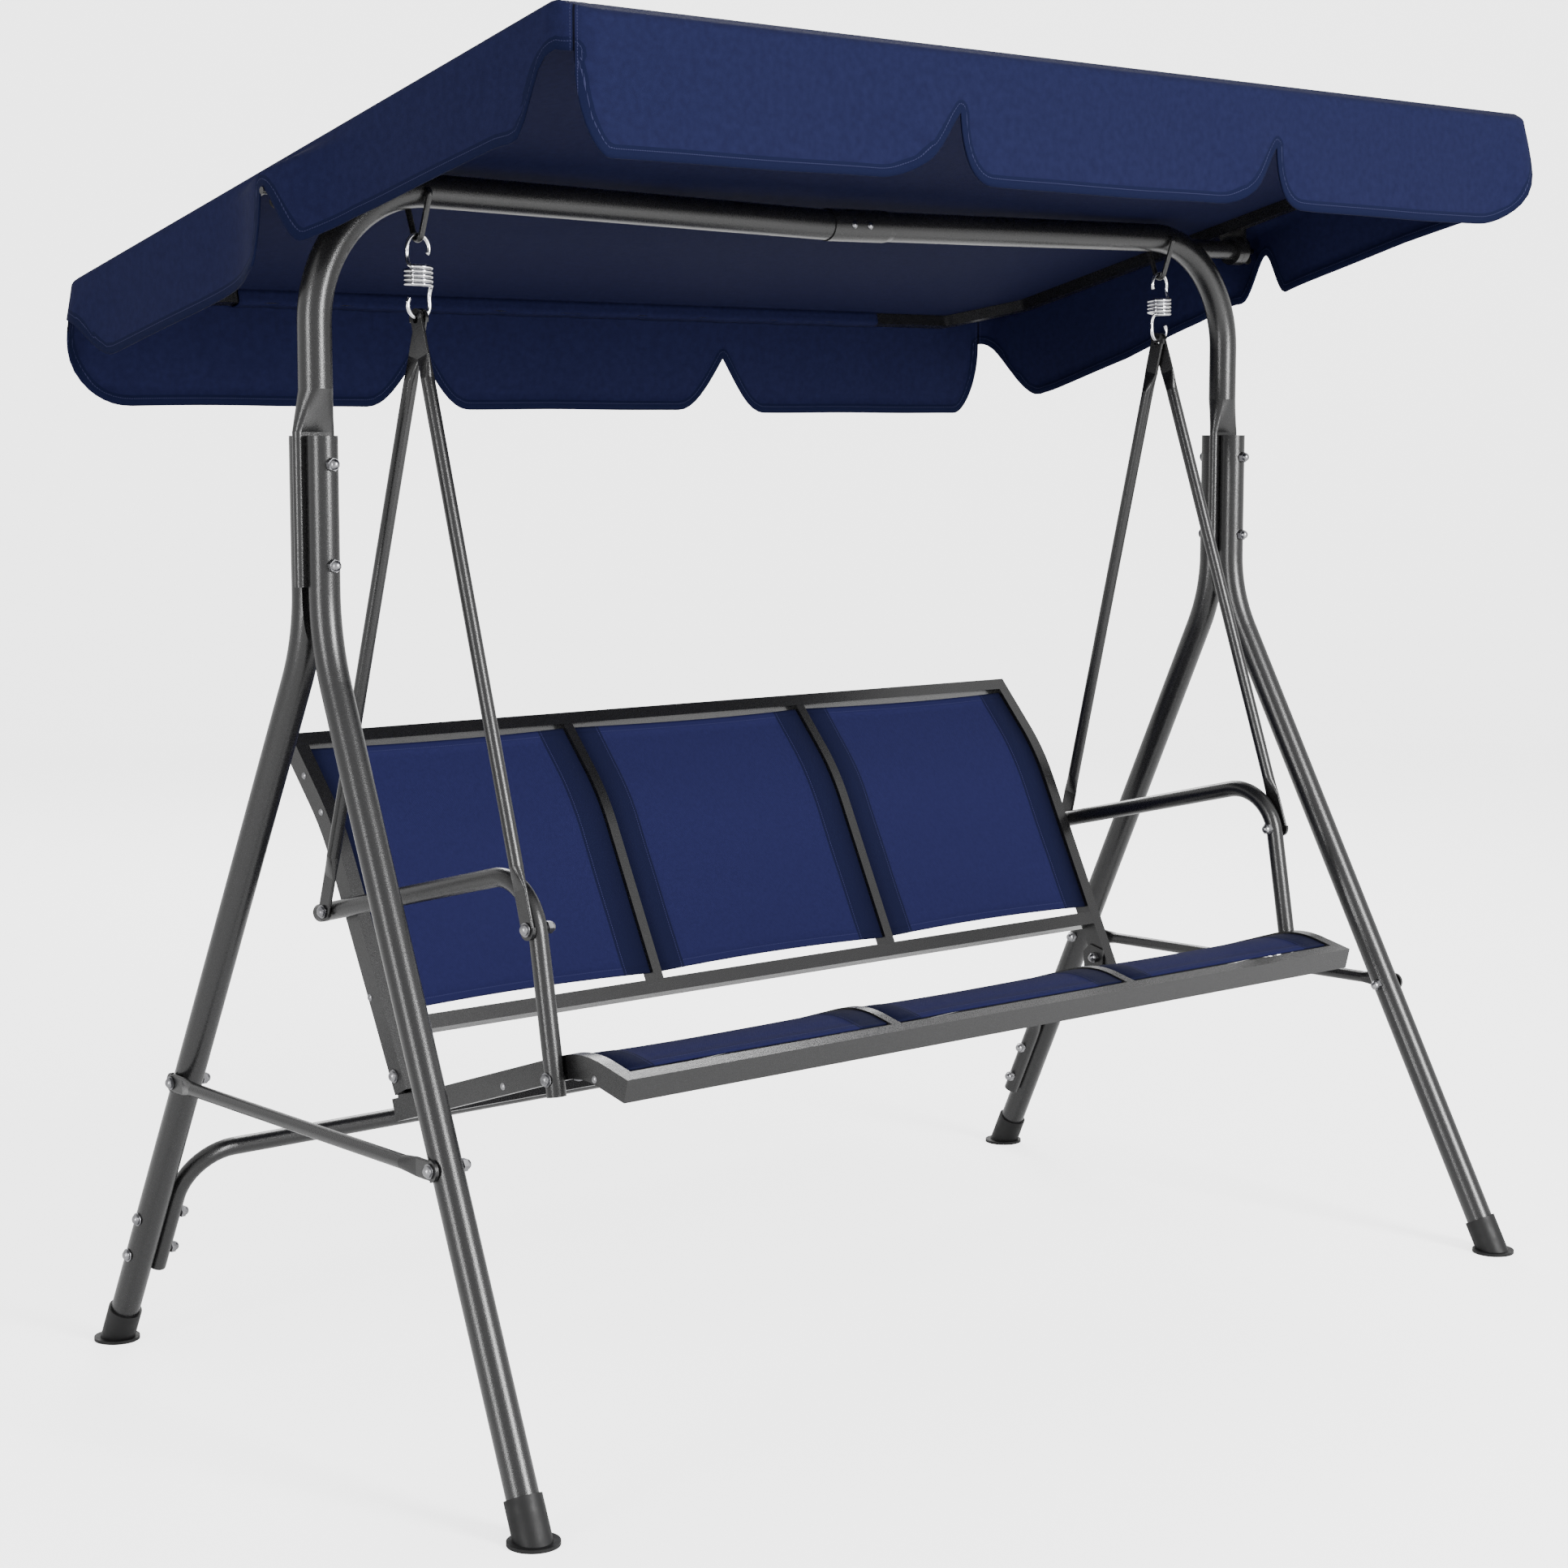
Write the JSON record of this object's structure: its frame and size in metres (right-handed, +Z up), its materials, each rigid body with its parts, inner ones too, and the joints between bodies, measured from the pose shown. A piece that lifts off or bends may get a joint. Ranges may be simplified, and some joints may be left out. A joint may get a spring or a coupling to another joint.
{
  "type": "patio swing",
  "caption": "A three-seat patio swing: a dark tube stand with a sling seat and back hung from two springs under a tilting navy cloth canopy with notched valances.",
  "frame": {"origin": "on the floor under the middle of the whole object's bounding box", "axes": "X runs along the seat from left to right as seen from the front, -Y is the side a person sits down from, Z is up"},
  "size_m": [1.7, 1.014, 1.5304],
  "materials": {
    "frame": "satin dark grey powder coat",
    "hook_steel": "satin dark grey powder coat, worn where the spring hangs",
    "bolt_steel": "dark zinc plate",
    "spring_steel": "bright zinc-plated wire",
    "plastic": "black moulded plastic",
    "cloth": "navy woven polyester, slightly translucent",
    "sling": "navy coated mesh with a fine basket weave"
  },
  "bodies": {
    "stand": {"beam_screws": "bolt_steel", "front_foot_left": "plastic", "front_foot_right": "plastic", "front_leg_left": "frame", "front_leg_right": "frame", "pivot_stub_left": "frame", "pivot_stub_right": "frame", "rear_crossbar": "frame", "rear_foot_left": "plastic", "rear_foot_right": "plastic", "rear_leg_left": "frame", "rear_leg_right": "frame", "side_brace_left": "frame", "side_brace_right": "frame", "stand_bolts": "bolt_steel", "swing_hook_left": "hook_steel", "swing_hook_right": "hook_steel", "top_beam_left": "frame", "top_beam_right": "frame"},
    "springs": {"spring_left": "spring_steel", "spring_right": "spring_steel"},
    "seat": {"armrest_left": "frame", "armrest_right": "frame", "back_bottom_rail": "frame", "back_dividers": "frame", "back_side_rail_left": "frame", "back_side_rail_right": "frame", "back_sling_centre": "sling", "back_sling_left": "sling", "back_sling_right": "sling", "back_top_rail": "frame", "front_hanger_left": "frame", "front_hanger_right": "frame", "rail_end_plates": "frame", "rear_hanger_left": "frame", "rear_hanger_right": "frame", "seat_back_brackets": "frame", "seat_bolts": "bolt_steel", "seat_dividers": "frame", "seat_front_rail": "frame", "seat_rear_rail": "frame", "seat_side_rail_left": "frame", "seat_side_rail_right": "frame", "seat_sling_centre": "sling", "seat_sling_left": "sling", "seat_sling_right": "sling", "sling_screws": "bolt_steel"},
    "canopy": {"canopy_arm_left": "frame", "canopy_arm_right": "frame", "canopy_bracket_left": "frame", "canopy_bracket_right": "frame", "canopy_front_bar": "frame", "canopy_rear_bar": "frame", "canopy_top": "cloth", "valance_front": "cloth", "valance_left": "cloth", "valance_rear": "cloth", "valance_right": "cloth"},
    "nut_left": {"wing_nut_left": "plastic"},
    "nut_right": {"wing_nut_right": "plastic"}
  },
  "joints": [
    {"name": "seat_swing", "type": "hinge", "parent": "stand", "child": "springs", "pos_m": [0, -0.0108, 1.3376], "axis": [1, 0, 0], "range_deg": [-20, 20]},
    {"name": "spring_stretch", "type": "slide", "parent": "springs", "child": "seat", "axis": [0, 0, -1], "range_m": [0, 0.012], "stiffness_N_per_m": 40000, "springref_m": -0.0022, "deforming": ["spring_left", "spring_right"]},
    {"name": "canopy_tilt", "type": "hinge", "parent": "stand", "child": "canopy", "pos_m": [0, -0.0108, 1.375], "axis": [1, 0, 0], "range_deg": [-12, 12]},
    {"name": "nut_turn_left", "type": "hinge", "parent": "stand", "child": "nut_left", "pos_m": [-0.82, -0.0108, 1.375], "axis": [1, 0, 0], "continuous": true},
    {"name": "nut_turn_right", "type": "hinge", "parent": "stand", "child": "nut_right", "pos_m": [0.82, -0.0108, 1.375], "axis": [1, 0, 0], "continuous": true}
  ]
}
